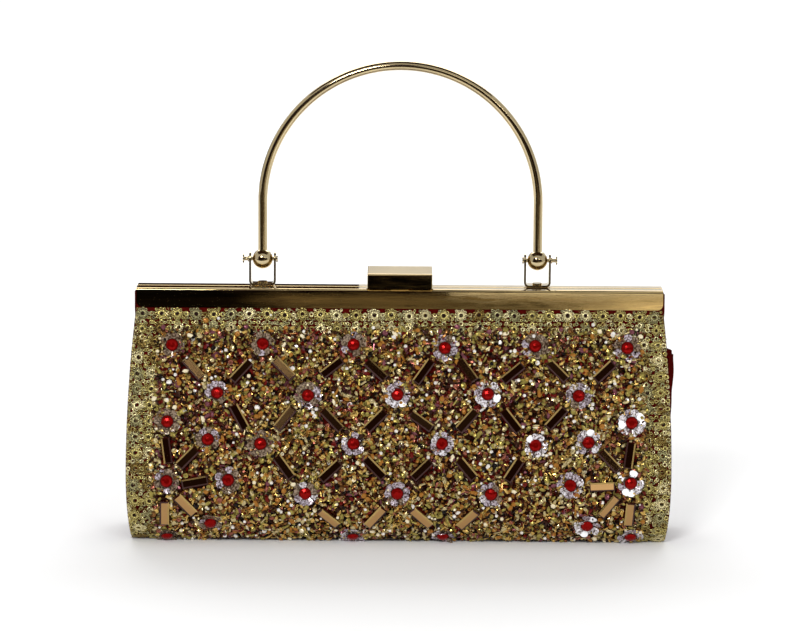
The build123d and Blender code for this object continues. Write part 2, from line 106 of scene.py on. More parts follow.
# -------- the cloth's shape
WALL_Y = BAR_FRONT - BAR_WALL
DROP = BAR_BOTTOM - BELLY_Z
LEAN = math.asin(BELLY / math.hypot(WALL_Y, DROP)) - math.atan2(WALL_Y, DROP)
STRAIGHT = (DROP - BELLY * math.sin(LEAN)) / math.cos(LEAN)
ARC = BELLY * (math.asin(BELLY_Z / BELLY) + LEAN)
CLOTH_LENGTH = STRAIGHT + ARC  # from the bar to the base's edge


def floor_distance(height):
    """Where along the cloth something that stands off it by height would touch the floor."""
    return STRAIGHT + BELLY * (math.asin(BELLY_Z / (BELLY + height)) + LEAN)


LOWEST = floor_distance(TALLEST_BEAD)


def cloth_tilt(distance):
    """How far the cloth's outward direction points below level."""
    return np.clip((distance - STRAIGHT) / BELLY, 0, None) - LEAN


def on_cloth(distance, lift=0.0):
    """Depth from the middle plane, and height, at a distance below the bar along a wall's cloth. It runs
    level under the base and upright above the bar's edge."""
    distance = np.asarray(distance, float)
    tilt = cloth_tilt(distance)
    along = np.clip(distance, 0, STRAIGHT)
    y = WALL_Y + along * math.sin(LEAN)
    z = BAR_BOTTOM - along * math.cos(LEAN)
    arc = distance > STRAIGHT
    y = np.where(arc, BELLY * np.cos(tilt), y)
    z = np.where(arc, BELLY_Z - BELLY * np.sin(tilt), z)
    y = y + lift * np.cos(tilt)
    z = z - lift * np.sin(tilt)
    under = distance > CLOTH_LENGTH
    y = np.where(under, FLAT - (distance - CLOTH_LENGTH), y)
    z = np.where(under, -lift, z)
    inside_bar = distance < 0
    y = np.where(inside_bar, WALL_Y + lift, y)
    z = np.where(inside_bar, BAR_BOTTOM - distance, z)
    return y, z


def half_width(z):
    """Half the bag's width at a height: gentle arcs above and below its widest place."""
    z = np.asarray(z, float)
    above = MIDDLE_HALF - (MIDDLE_HALF - TOP_HALF) * ((z - MIDDLE_Z) / (BAR_BOTTOM - MIDDLE_Z)) ** 2
    below = MIDDLE_HALF - (MIDDLE_HALF - BASE_HALF) * ((MIDDLE_Z - z) / MIDDLE_Z) ** 2
    return np.where(z > MIDDLE_Z, above, below)


def lay(x, distance, lift, turn, tip=None, scale=None):
    """4x4 matrices that lay flat shapes (XY plane, +Z out) on the front cloth and turn them on it. tip is a
    small random rotation's size, and scale holds one size per axis for each shape."""
    x, distance, turn = np.broadcast_arrays(*[np.asarray(v, float) for v in (x, distance, turn)])
    n = len(x)
    tilt = cloth_tilt(distance)
    y, z = on_cloth(distance, lift)
    out = np.stack([np.zeros(n), -np.cos(tilt), -np.sin(tilt)], 1)
    up = np.stack([np.zeros(n), -np.sin(tilt), np.cos(tilt)], 1)
    right = np.tile([1.0, 0, 0], (n, 1))
    c, s = np.cos(turn)[:, None], np.sin(turn)[:, None]
    axes = np.stack([c * right + s * up, c * up - s * right, out], 2)
    if tip is not None:
        axes = np.einsum("nij,njk->nik", axes, small_turns(n, tip))
    if scale is not None:
        axes = axes * np.asarray(scale)[:, None, :]
    matrices = np.zeros((n, 4, 4))
    matrices[:, :3, :3] = axes
    matrices[:, :3, 3] = np.stack([x, -y, z], 1)
    matrices[:, 3, 3] = 1
    return matrices


def rotations(angles, i, j):
    """3x3 matrices that turn axis i towards axis j."""
    matrices = np.tile(np.eye(3), (len(angles), 1, 1))
    matrices[:, i, i] = matrices[:, j, j] = np.cos(angles)
    matrices[:, j, i] = np.sin(angles)
    matrices[:, i, j] = -np.sin(angles)
    return matrices


def small_turns(n, size):
    """n random rotations about X then Y, of about the given size in radians."""
    about_x, about_y = rng.normal(0, size, n), rng.normal(0, size, n)
    return np.einsum("nij,njk->nik", rotations(about_x, 1, 2), rotations(about_y, 2, 0))


def circle(steps):
    """The angles of equal steps round a full turn."""
    return np.arange(steps) * 2 * math.pi / steps


# -------- meshes
def lathe(profile, segments, closed=False, wave=None):
    """(vertices, faces) of a profile of (radius, height) turned about Z. wave scales the segments' radii."""
    scale = np.ones(segments) if wave is None else np.asarray(wave)
    verts, rings = [], []
    for radius, height in profile:
        if radius == 0:
            rings.append([len(verts)] * segments)
            verts.append((0, 0, height))
        else:
            rings.append(list(range(len(verts), len(verts) + segments)))
            for angle, k in zip(circle(segments), scale):
                verts.append((radius * k * math.cos(angle), radius * k * math.sin(angle), height))
    faces = []
    after = rings[1:] + rings[:1] if closed else rings[1:]
    for low, high in zip(rings, after):
        for i in range(segments):
            j = (i + 1) % segments
            corners = [low[i], low[j], high[j], high[i]]
            faces.append(tuple(dict.fromkeys(corners)))
    return np.array(verts, float), faces


def tube(points, radius, segments=6, closed=False, ripple=0.0, ripple_count=0):
    """(vertices, faces) of a round tube along points, optionally rippled like wound thread."""
    points = np.asarray(points, float)
    n = len(points)
    ahead = np.roll(points, -1, 0) if closed else np.vstack([points[1:], 2 * points[-1] - points[-2]])
    behind = np.roll(points, 1, 0) if closed else np.vstack([2 * points[0] - points[1], points[:-1]])
    tangent = ahead - behind
    tangent /= np.linalg.norm(tangent, axis=1)[:, None]
    reference = np.array([0.0, 0, 1]) if abs(tangent[0][2]) < 0.9 else np.array([1.0, 0, 0])
    side = np.cross(tangent, reference)
    side /= np.linalg.norm(side, axis=1)[:, None]
    other = np.cross(tangent, side)
    angles = circle(segments)
    swell = 1 + ripple * np.sin(np.arange(n) * 2 * math.pi * ripple_count / n)
    radii = (radius * swell)[:, None, None]
    around = np.cos(angles)[None, :, None] * side[:, None] + np.sin(angles)[None, :, None] * other[:, None]
    verts = (points[:, None] + radii * around).reshape(-1, 3)
    faces = []
    for i in range(n if closed else n - 1):
        a, b = i * segments, ((i + 1) % n) * segments
        for k in range(segments):
            m = (k + 1) % segments
            faces.append((a + k, a + m, b + m, b + k))
    if not closed:
        faces.append(tuple(range(segments))[::-1])
        faces.append(tuple(range((n - 1) * segments, n * segments)))
    return verts, faces


class Pile:
    """Copies of small shapes, gathered into one mesh."""

    def __init__(self):
        self.verts, self.loops, self.counts, self.slots = [], [], [], []
        self.total = 0

    def add(self, shape, matrices, slots):
        """Adds a (vertices, faces) shape once for each matrix, with its material slot number."""
        verts, faces = shape
        n = len(matrices)
        if n == 0:
            return
        flat = np.concatenate([np.asarray(f) for f in faces])
        counts = np.array([len(f) for f in faces])
        placed = np.einsum("nij,vj->nvi", matrices[:, :3, :3], verts) + matrices[:, None, :3, 3]
        offsets = self.total + np.arange(n) * len(verts)
        self.verts.append(placed.reshape(-1, 3))
        self.loops.append((flat[None] + offsets[:, None]).ravel())
        self.counts.append(np.tile(counts, n))
        self.slots.append(np.repeat(np.broadcast_to(slots, n), len(faces)))
        self.total += n * len(verts)

    def build(self, name, materials, smooth):
        """The gathered shapes as a Blender object."""
        mesh = bpy.data.meshes.new(name)
        verts, loops = np.concatenate(self.verts), np.concatenate(self.loops)
        verts[:, 2] = np.maximum(verts[:, 2], CLEAR_OF_FLOOR)
        counts, slots = np.concatenate(self.counts), np.concatenate(self.slots)
        mesh.vertices.add(len(verts))
        mesh.vertices.foreach_set("co", verts.astype(np.float32).ravel())
        mesh.loops.add(len(loops))
        mesh.loops.foreach_set("vertex_index", loops.astype(np.int32))
        mesh.polygons.add(len(counts))
        starts = np.cumsum(counts) - counts
        mesh.polygons.foreach_set("loop_start", starts.astype(np.int32))
        mesh.polygons.foreach_set("material_index", slots.astype(np.int32))
        mesh.polygons.foreach_set("use_smooth", np.full(len(counts), smooth))
        mesh.update(calc_edges=True)
        mesh.validate()
        return new_object(name, mesh, materials)


def new_object(name, data, materials=()):
    """A linked object with the given materials."""
    piece = bpy.data.objects.new(name, data)
    bpy.context.scene.collection.objects.link(piece)
    for material in materials:
        data.materials.append(material)
    return piece


def grid_piece(name, points, material, thickness):
    """A cloth sheet through (rows, columns, 3) points, thickened behind its face."""
    rows, columns = points.shape[:2]
    i = np.arange(rows - 1)[:, None] * columns + np.arange(columns - 1)[None]
    faces = np.stack([i, i + 1, i + columns + 1, i + columns], -1).reshape(-1, 4)
    mesh = bpy.data.meshes.new(name)
    mesh.from_pydata(points.reshape(-1, 3).tolist(), [], faces.tolist())
    mesh.polygons.foreach_set("use_smooth", [True] * len(mesh.polygons))
    piece = new_object(name, mesh, [material])
    solidify = piece.modifiers.new("thickness", "SOLIDIFY")
    solidify.thickness = thickness
    solidify.offset = -1
    return piece


# -------- materials
def linear(color):
    """An sRGB colour as linear RGBA."""
    return [c / 12.92 if c <= 0.04045 else ((c + 0.055) / 1.055) ** 2.4 for c in color[:3]] + [1.0]


def feed(node, **values):
    """Sets or links a node's inputs, and returns the node."""
    for name, value in values.items():
        socket = node.inputs[name.replace("_", " ")]
        if isinstance(value, bpy.types.NodeSocket):
            node.id_data.links.new(value, socket)
        else:
            socket.default_value = value
    return node


def plain(name, color, **values):
    """A Principled material with constant values; returns it and its shader."""
    material = bpy.data.materials.new(name)
    material.use_nodes = True
    shader = material.node_tree.nodes["Principled BSDF"]
    feed(shader, Base_Color=linear(color), **values)
    return material, shader


def object_place(tree):
    """The place in object coordinates."""
    return tree.nodes.new("ShaderNodeTexCoord").outputs["Object"]


def noise(tree, scale, detail=4.0, stretch=(1, 1, 1)):
    """A noise texture on object coordinates."""
    mapping = feed(tree.nodes.new("ShaderNodeMapping"), Vector=object_place(tree), Scale=stretch)
    texture = tree.nodes.new("ShaderNodeTexNoise")
    feed(texture, Vector=mapping.outputs["Vector"], Scale=scale, Detail=detail)
    return texture.outputs["Fac"]


def ramp(tree, factor, stops):
    """A colour ramp over a factor. stops are (position, sRGB colour)."""
    node = feed(tree.nodes.new("ShaderNodeValToRGB"), Fac=factor)
    elements = node.color_ramp.elements
    while len(elements) < len(stops):
        elements.new(0.5)
    for element, (position, color) in zip(elements, stops):
        element.position = position
        element.color = linear(color)
    return node.outputs["Color"]


def map_range(tree, factor, source, target, kind="LINEAR"):
    """Maps a factor from one range to another, clamped."""
    node = feed(tree.nodes.new("ShaderNodeMapRange"), Value=factor)
    node.interpolation_type = kind
    feed(node, From_Min=source[0], From_Max=source[1], To_Min=target[0], To_Max=target[1])
    return node.outputs["Result"]


def spread(tree, factor, low, high, reach=0.2):
    """Maps a factor within reach of 0.5 to a range."""
    return map_range(tree, factor, (0.5 - reach, 0.5 + reach), (low, high))


def along(tree, axis, low, high):
    """0 to 1 along an object axis, from low to high."""
    split = feed(tree.nodes.new("ShaderNodeSeparateXYZ"), Vector=object_place(tree))
    return map_range(tree, split.outputs[axis], (low, high), (0, 1))


def combine(tree, operation, first, second):
    """Two values, added or multiplied."""
    node = tree.nodes.new("ShaderNodeMath")
    node.operation = operation
    tree.links.new(first, node.inputs[0])
    tree.links.new(second, node.inputs[1])
    return node.outputs[0]


def two_tone(tree, shader, factor, color, shade, edges=(0.3, 0.7)):
    """Base colour from a darker shade of color, a share of it, to color itself."""
    deep = tuple(c * shade for c in color)
    feed(shader, Base_Color=ramp(tree, factor, list(zip(edges, (deep, color)))))


def bump(tree, shader, height, strength, distance):
    """A bump on the shader's normal."""
    node = feed(tree.nodes.new("ShaderNodeBump"), Strength=strength, Distance=distance, Height=height)
    feed(shader, Normal=node.outputs["Normal"])


def polished_gold(name, color, sharpest=0.015, softest=0.07):
    """Polished pale gold plate: faint rub marks and a slow change of tone."""
    material, shader = plain(name, color, Metallic=1.0, Roughness=0.04)
    tree = material.node_tree
    two_tone(tree, shader, noise(tree, 35.0), color, 0.86)
    rub = noise(tree, 900.0, 6.0, (0.12, 1, 1))
    feed(shader, Roughness=spread(tree, rub, sharpest, softest))
    bump(tree, shader, noise(tree, 1400.0, 3.0, (0.08, 1, 1)), 0.05, 0.02 * MM)
    return material


def brushed_steel():
    """Plated steel strip inside the bag, with a fine grain along it."""
    material, shader = plain("plated_steel", (0.72, 0.69, 0.6), Metallic=1.0, Roughness=0.32)
    tree = material.node_tree
    grain = noise(tree, 1500.0, 3.0, (1, 1, 0.06))
    feed(shader, Base_Color=ramp(tree, grain, [(0.3, (0.6, 0.57, 0.48)), (0.7, (0.78, 0.75, 0.66))]))
    bump(tree, shader, grain, 0.15, 0.02 * MM)
    return material


def satin(name, color, weave=2600.0):
    """Satin: a fine weave with long floats, whose soft shine has the cloth's own colour."""
    material, shader = plain(name, color, Roughness=0.45, Metallic=0.1, Specular_IOR_Level=0.0)
    feed(shader, Specular_Tint=linear((0.5, 0.15, 0.12)))
    tree = material.node_tree
    threads = noise(tree, weave, 2.0, (0.25, 1, 1))
    two_tone(tree, shader, threads, color, 0.72, (0.35, 0.65))
    bump(tree, shader, threads, 0.25, 0.06 * MM)
    return material


def fibrous(name, color, scale=900.0):
    """Board or twisted paper: a matt fibrous surface."""
    material, shader = plain(name, color, Roughness=0.85)
    tree = material.node_tree
    fibre = noise(tree, scale, 6.0)
    two_tone(tree, shader, fibre, color, 0.78)
    bump(tree, shader, fibre, 0.4, 0.08 * MM)
    return material


gold = polished_gold("polished_gold_frame", (0.89, 0.79, 0.58))
handle_gold = polished_gold("polished_gold_handle", (0.87, 0.79, 0.62), 0.06, 0.13)
soft_gold = polished_gold("satin_gold_yokes", (0.86, 0.78, 0.6), 0.1, 0.18)
steel = brushed_steel()
red_satin = satin("dark_red_satin", (0.3, 0.042, 0.03))
lining_satin = satin("lining_satin", (0.38, 0.09, 0.07), 2000.0)
board_fibre = fibrous("board", (0.62, 0.56, 0.45))
paper = fibrous("paper_cord", (0.76, 0.66, 0.48), 1500.0)

# Bead finishes: name, colour, metallic, roughness, and how common near the bar and near the base.
BEADS = (
    ("gold", (0.82, 0.68, 0.38), 0.9, 0.22, 11, 18),
    ("olive_gold", (0.62, 0.56, 0.29), 0.7, 0.28, 14, 18),
    ("bronze", (0.52, 0.36, 0.2), 0.85, 0.25, 16, 16),
    ("amber", (0.6, 0.4, 0.16), 0.2, 0.14, 7, 9),
    ("copper", (0.6, 0.36, 0.29), 0.85, 0.25, 10, 6),
    ("dark_brown", (0.19, 0.09, 0.05), 0.2, 0.16, 20, 14),
    ("near_black", (0.07, 0.04, 0.025), 0.1, 0.12, 13, 8),
    ("dark_red", (0.36, 0.06, 0.04), 0.1, 0.14, 7, 4),
    ("purple", (0.45, 0.26, 0.29), 0.5, 0.22, 6, 2),
    ("champagne", (0.78, 0.71, 0.52), 0.8, 0.22, 8, 11),
    ("pearl", (0.88, 0.83, 0.7), 0.1, 0.2, 1.5, 2),
    ("crystal", (0.95, 0.93, 0.9), 0.4, 0.06, 0.6, 0.6),
)
bead_materials = [
    plain("bead_" + name, color, Metallic=metallic, Roughness=roughness, Specular_IOR_Level=0.2)[0]
    for name, color, metallic, roughness, _, _ in BEADS
]
bead_slot = {row[0]: i for i, row in enumerate(BEADS)}
NET_COLORS = ((0.72, 0.66, 0.4), (0.62, 0.59, 0.42), (0.86, 0.81, 0.62), (0.5, 0.41, 0.2))
NET_SHARES = (0.4, 0.25, 0.2, 0.15)  # how common each of them is
net_materials = [
    plain(f"net_thread_{i}", color, Metallic=0.75, Roughness=0.24)[0] for i, color in enumerate(NET_COLORS)
]
# Material of a dark disc under each rosette: painted shade in the rosette's hole.
net_materials.append(plain("net_painted_shade_disc", (0.13, 0.05, 0.03), Roughness=0.6, Specular_IOR_Level=0.1)[0])
red = (0.52, 0.035, 0.025)
stone_material = plain("red_stone", red, Metallic=0.6, Roughness=0.14, Specular_IOR_Level=0.1)[0]
stone_rim = plain("stone_rim", (0.2, 0.07, 0.05), Metallic=0.3, Roughness=0.4)[0]
mirror_material = plain("baguette_mirror", (0.74, 0.58, 0.38), Metallic=1.0, Roughness=0.06)[0]
# The baguettes' upper bevel and wall get a light gold, and their other bevels, walls and underside a dark
# brown: painted light and painted shade, for how light falls on them.
painted_lit_edge = plain("baguette_painted_lit_edge", (0.74, 0.62, 0.38), Metallic=0.9, Roughness=0.2)[0]
painted_shade_sides = plain("baguette_painted_shade_sides", (0.2, 0.06, 0.03), Metallic=0.3, Roughness=0.15)[0]


def sequin_material(name, dim, bright):
    """Clear, milky sequins with a lacy pattern. dim and bright are the pattern's outer colours."""
    material, shader = plain(name, bright, Roughness=0.12, Metallic=0.25)
    tree = material.node_tree
    lace = noise(tree, 1300.0, 2.0)
    middle = tuple((a + b) / 2 for a, b in zip(dim, bright))
    stops = [(0.36, (0.2, 0.14, 0.1)), (0.46, dim), (0.53, middle), (0.62, bright)]
    feed(shader, Base_Color=ramp(tree, lace, stops))
    bump(tree, shader, lace, 0.4, 0.15 * MM)
    return material


# Sequin tones from dim to bright; the near-white of sequin_glare is painted glare.
flower_materials = [
    sequin_material("sequin_smoky", (0.34, 0.27, 0.2), (0.58, 0.5, 0.42)),
    sequin_material("sequin_lilac", (0.5, 0.44, 0.46), (0.76, 0.72, 0.76)),
    sequin_material("sequin_clear", (0.68, 0.64, 0.64), (0.93, 0.92, 0.94)),
    plain("sequin_glare", (0.97, 0.97, 0.98), Roughness=0.25)[0],
]


# -------- metal and inner CAD parts
def dress(material, *names):
    """Gives CAD nodes a material."""
    for name in names:
        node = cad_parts[name]
        for slot in node.material_slots:
            slot.material = material


dress(gold, "front_bar", "rear_bar", "clasp_cap", "clasp_striker", "clasp_bracket")
dress(handle_gold, "handle_arch")
for side, _ in SIDES:
    dress(handle_gold, "handle_ball_" + side, "handle_pin_" + side)
    dress(soft_gold, "handle_yoke_" + side, "yoke_rivet_" + side)
    dress(steel, "front_arm_" + side, "rear_arm_" + side, "hinge_rivet_" + side)
dress(steel, "front_arm_rivets", "rear_arm_rivets", "bracket_rivets", "striker_rivets")
dress(steel, "clasp_pin", "clasp_spring", "clasp_catch")
dress(board_fibre, "front_stiffener", "rear_stiffener", "base_stiffener")
dress(paper, "front_packing_cord", "rear_packing_cord")


# -------- cloth
def fold_with(piece):
    """Bakes the piece's place into its mesh."""
    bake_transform(piece)


def wall_points(sign, inset, first, last, rows, columns, narrow, ripple):
    """Points of a wall's sheet, from a distance above the bar's edge to one under the base."""
    distance = np.linspace(first, last, rows)
    y, z = on_cloth(distance, -inset)
    across = np.linspace(-1, 1, columns)
    x = across[None] * (half_width(z) - narrow)[:, None]
    soft = np.sin(x * 90 + distance[:, None] * 70) * np.sin(x * 37 - distance[:, None] * 160)
    y = y[:, None] + ripple * soft * np.clip(distance / (10 * MM), 0, 1)[:, None]
    z = np.repeat(z[:, None], columns, 1)
    points = np.stack([x, sign * y, z], -1)
    return points[:, ::-1] if sign < 0 else points


def make_walls():
    """Front and rear outer satin, and both linings. Only the plain rear satin ripples."""
    ripples = {"front": 0.0, "rear": 0.25 * MM}
    lining_end = CLOTH_LENGTH - 3 * MM
    for end, sign in ENDS:
        points = wall_points(sign, 0.0, -6 * MM, CLOTH_LENGTH, 150, 160, 0.3 * MM, ripples[end])
        skin = grid_piece(end + "_satin", points, red_satin, SKIN)
        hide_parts(end + "_outer_panel", end + "_fold", end + "_top_cloth", end + "_top_stiffener")
        fold_with(skin)
        points = wall_points(sign, WALL - LINING, -5 * MM, lining_end, 110, 110, 5.5 * MM, 0.15 * MM)
        inner = grid_piece(end + "_lining_satin", points, lining_satin, LINING)
        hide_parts(end + "_lining")
        fold_with(inner)


def lining_piece(name, points, node):
    """A piece of the lining that stays with the pouch, in place of a CAD node."""
    piece = grid_piece(name, points, lining_satin, LINING)
    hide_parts(node)
    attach(piece, "pouch")


def make_base():
    """The satin under the bag and the lining's floor."""
    across = np.linspace(-1, 1, 120)
    depth = np.linspace(-1, 1, 30)
    x, y = np.meshgrid(across * (BASE_HALF - 1 * MM), depth * (FLAT + 0.5 * MM))
    sole = np.stack([x, y, np.full_like(x, CLEAR_OF_FLOOR)], -1)
    skin = grid_piece("base_satin", sole[:, ::-1], red_satin, 0.7 * MM)
    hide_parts("base_outer_panel")
    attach(skin, "pouch")
    x, y = np.meshgrid(across * (GUSSET_X - 2 * MM), depth * (FLAT + 3 * MM))
    puff = 0.2 * MM * np.sin(x * 60) * np.sin(y * 200)
    lining_piece("base_lining_satin", np.stack([x, y, WALL + puff], -1), "base_lining")


def side_edge(height, inset):
    """Half the bag's depth at each height, kept inside the walls by inset."""
    slope = WALL_Y + np.clip((BAR_BOTTOM - height) / math.cos(LEAN), 0, None) * math.sin(LEAN) - inset
    rounded = np.sqrt(np.clip((BELLY - inset) ** 2 - (height - BELLY_Z) ** 2, 0, None))
    edge = np.where(height > BELLY_Z + BELLY * math.sin(LEAN), slope, rounded)
    return np.where(height > BAR_BOTTOM, WALL_Y, edge)


def ease(value):
    """0 to 1 with soft ends."""
    value = np.clip(value, 0, 1)
    return value * value * (3 - 2 * value)


# How the gussets' cloth stands off a flat side.
GUSSET_INSET = 2.6 * MM  # the flat side, inside the front's edge
SWELL = {"right": 6.2 * MM, "left": 3.4 * MM}  # at the hinge's height
SWELL_FROM = 35 * MM
LOW_PLEAT = 3.4 * MM
HIGH_PLEAT = 5 * MM
PLEAT_SHARE = 0.22  # the pleat's width, as a share of half the depth
RIVET_COVER = 0.7 * MM  # the cloth stays this far outside the hinge rivet
RIVET_REACH = 12 * MM  # from this far below the rivet on


def make_gussets():
    """Side cloth in a front and a rear half: stiff up to the hinge, where its corner sticks out, and a soft
    pleat between the bars' ends above."""
    low_rows = np.linspace(0.3 * MM, GUSSET_TOP, 90)
    high_rows = np.linspace(GUSSET_TOP + 0.5 * MM, FRAME_TOP - 1.6 * MM, 40)
    height = np.concatenate([low_rows, high_rows])
    edge = side_edge(height, 0.6 * MM)
    t = np.linspace(0, 1, 36)[None]
    h = height[:, None]
    crease = np.exp(-((t / PLEAT_SHARE) ** 2))
    near_hinge = np.clip((h - SWELL_FROM) / (GUSSET_TOP - SWELL_FROM), 0, 1) ** 0.8
    closing = ease((h - GUSSET_TOP) / (BAR_BOTTOM - GUSSET_TOP))
    in_bars = ease((h - BAR_BOTTOM + 4 * MM) / (5 * MM))
    flat = half_width(h) - GUSSET_INSET
    wrinkle = 0.25 * MM * np.sin(h * 420 + t * 5) * near_hinge * (1 - t**4)
    above = flat + (HALF_LENGTH + SKIN - flat) * closing - HIGH_PLEAT * crease * (1 - 0.5 * in_bars)
    for side, out in reversed(SIDES):
        below = flat + near_hinge * (SWELL[side] * (1 - 0.5 * t**2) - LOW_PLEAT * crease)
        x = np.where(h <= GUSSET_TOP, below, above) + wrinkle
        x = np.where(h > HINGE_Z - RIVET_REACH, np.maximum(x, hinge_high.x + RIVET_COVER), x)
        for end, sign in ENDS:
            y = edge[:, None] * t
            points = np.stack([out * x, sign * y, h * np.ones_like(y)], -1)
            if out * sign > 0:
                points = points[:, ::-1]
            piece = grid_piece(f"gusset_satin_{end}_{side}", points[:, ::-1], red_satin, 0.6 * MM)
            fold_with(piece)
            if end == "front":
                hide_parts("gusset_" + side, "gusset_top_" + side)


def make_gusset_linings():
    """Lining cloth inside each end of the pouch."""
    for side, out in reversed(SIDES):
        low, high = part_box("gusset_lining_" + side)
        height = np.linspace(low.z, high.z, 60)
        across = np.linspace(-1, 1, 30)
        y = side_edge(height, WALL + 0.3 * MM)[:, None] * across[None]
        h = height[:, None] * np.ones_like(y)
        puff = 0.25 * MM * np.sin(h * 240) * np.sin(y * 260)
        points = np.stack([out * ((low.x + high.x) * out / 2 + puff), y, h], -1)
        lining_piece("gusset_lining_satin_" + side, points[:, ::out], "gusset_lining_" + side)


def make_pocket():
    """The slip pocket behind the rear lining."""
    low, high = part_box("slip_pocket")
    rows, columns = 30, 60
    sag = 1.2 * MM  # how far its mouth hangs open
    height = np.linspace(low.z, high.z, rows)
    distance = (BAR_BOTTOM - height) / math.cos(LEAN)
    y, z = on_cloth(distance, -WALL - 0.4 * MM)
    x = np.linspace(low.x, high.x, columns)
    hang = sag * np.sin(np.linspace(0, math.pi, columns))[None] * np.linspace(0, 1, rows)[:, None] ** 3
    points = np.stack([np.repeat(x[None], rows, 0), y[:, None] - hang, np.repeat(z[:, None], columns, 1)], -1)
    lining_piece("slip_pocket_satin", points, "slip_pocket")


# -------- beadwork
def lattice():
    """Flower places as (x, distance): a diamond lattice and two corner sunbursts."""
    counts = (6, 5, 4, 3, 2)
    places = [
        ((i - (count - 1) / 2) * LATTICE, FIRST_ROW + row * ROW)
        for row, count in enumerate(counts)
        for i in range(count)
    ]
    places += [(x, d) for x, d, _ in sunburst(MOTIF_FLOWER_RING)]
    places += [(-MOTIF_X, MOTIF_ROW), (MOTIF_X, MOTIF_ROW)]
    return np.array(places)


def sunburst(ring):
    """Places (x, distance, turn) at 45 degree steps round each corner motif's inner side."""
    places = []
    for side in (-1, 1):
        for angle in np.radians((90, 45, 0, -45, -90)):
            x = side * (MOTIF_X - ring * math.cos(angle))
            places.append((x, MOTIF_ROW - ring * math.sin(angle), -side * angle))
    return places


def baguettes():
    """Bars half way along the lattice's diagonals, and radially in the corner motifs."""
    slant = math.atan2(ROW, LATTICE / 2)
    places = []
    for row, half_count in enumerate((2.5, 2, 1.5, 1)):
        for i in range(int(4 * half_count)):
            x = (i / 2 - half_count + 0.25) * LATTICE
            places.append((x, FIRST_ROW + (row + 0.5) * ROW, -slant if i % 2 == 0 else slant))
    return np.array(places + sunburst(MOTIF_BAR_RING))


def hand_sewn(places):
    """The places, each a little off its mark as sewn by hand."""
    places[:, :2] += rng.normal(0, HAND_SEWN, (len(places), 2)).clip(-2 * HAND_SEWN, 2 * HAND_SEWN)
    return places


flower_places = hand_sewn(lattice())
baguette_places = hand_sewn(baguettes())
PETALS = 9
ANY_TURN = 6.28  # the whole circle, for random turns


def petal_shape(radius):
    """One cupped petal of a sequin, along +X, with a rib down its middle."""
    outline = ((0.3, 0.08), (0.5, 0.19), (0.7, 0.3), (0.88, 0.3), (1.0, 0.14))
    across = np.linspace(-1, 1, 5)
    top = []
    for reach, half in outline:
        rib = 0.12 * MM * np.cos(across * math.pi)
        height = 0.9 * MM * reach**2 + rib * reach
        top.append(np.stack([np.full(5, reach * radius), across * half * radius, height], 1))
    top = np.concatenate(top)
    verts = np.concatenate([top, top - np.array([0, 0, 0.2 * MM])])
    n = len(top)
    quads = [(5 * i + j, 5 * i + 5 + j, 5 * i + 6 + j, 5 * i + 1 + j) for i in range(4) for j in range(4)]
    rim = [5 * i for i in range(5)] + [21, 22, 23, 24, 19, 14, 9, 4, 3, 2, 1]
    walls = [(a, b, b + n, a + n) for a, b in zip(rim, rim[1:] + rim[:1])]
    under = [tuple(n + k for k in reversed(quad)) for quad in quads]
    return verts, quads + under + [tuple(reversed(wall)) for wall in walls]


def stone_shape():
    """A round faceted stone: table, crown facets and a girdle."""
    r = STONE_RADIUS
    profile = [(0, 0), (r, 0), (r, 0.4 * MM), (0.8 * r, 1.0 * MM), (0.45 * r, 1.4 * MM), (0, 1.5 * MM)]
    return lathe(profile, 10)


def baguette_shape():
    """A bevelled bar. Its faces are the mirror top, four bevels, four walls and the underside. The third
    bevel and wall are its upper ones."""
    length, width, thick = BAGUETTE
    side, end, drop = 0.7 * MM, 0.5 * MM, 0.36 * MM
    verts, faces = [], []
    for inset_x, inset_y, height in ((0, 0, 0), (0, 0, thick - drop), (end, side, thick)):
        a, b = length / 2 - inset_x, width / 2 - inset_y
        verts += [(-a, -b, height), (a, -b, height), (a, b, height), (-a, b, height)]
    faces.append((8, 9, 10, 11))
    for k in (4, 0):
        faces += [(k + i, k + (i + 1) % 4, k + 4 + (i + 1) % 4, k + 4 + i) for i in range(4)]
    faces.append((3, 2, 1, 0))
    return np.array(verts, float), faces


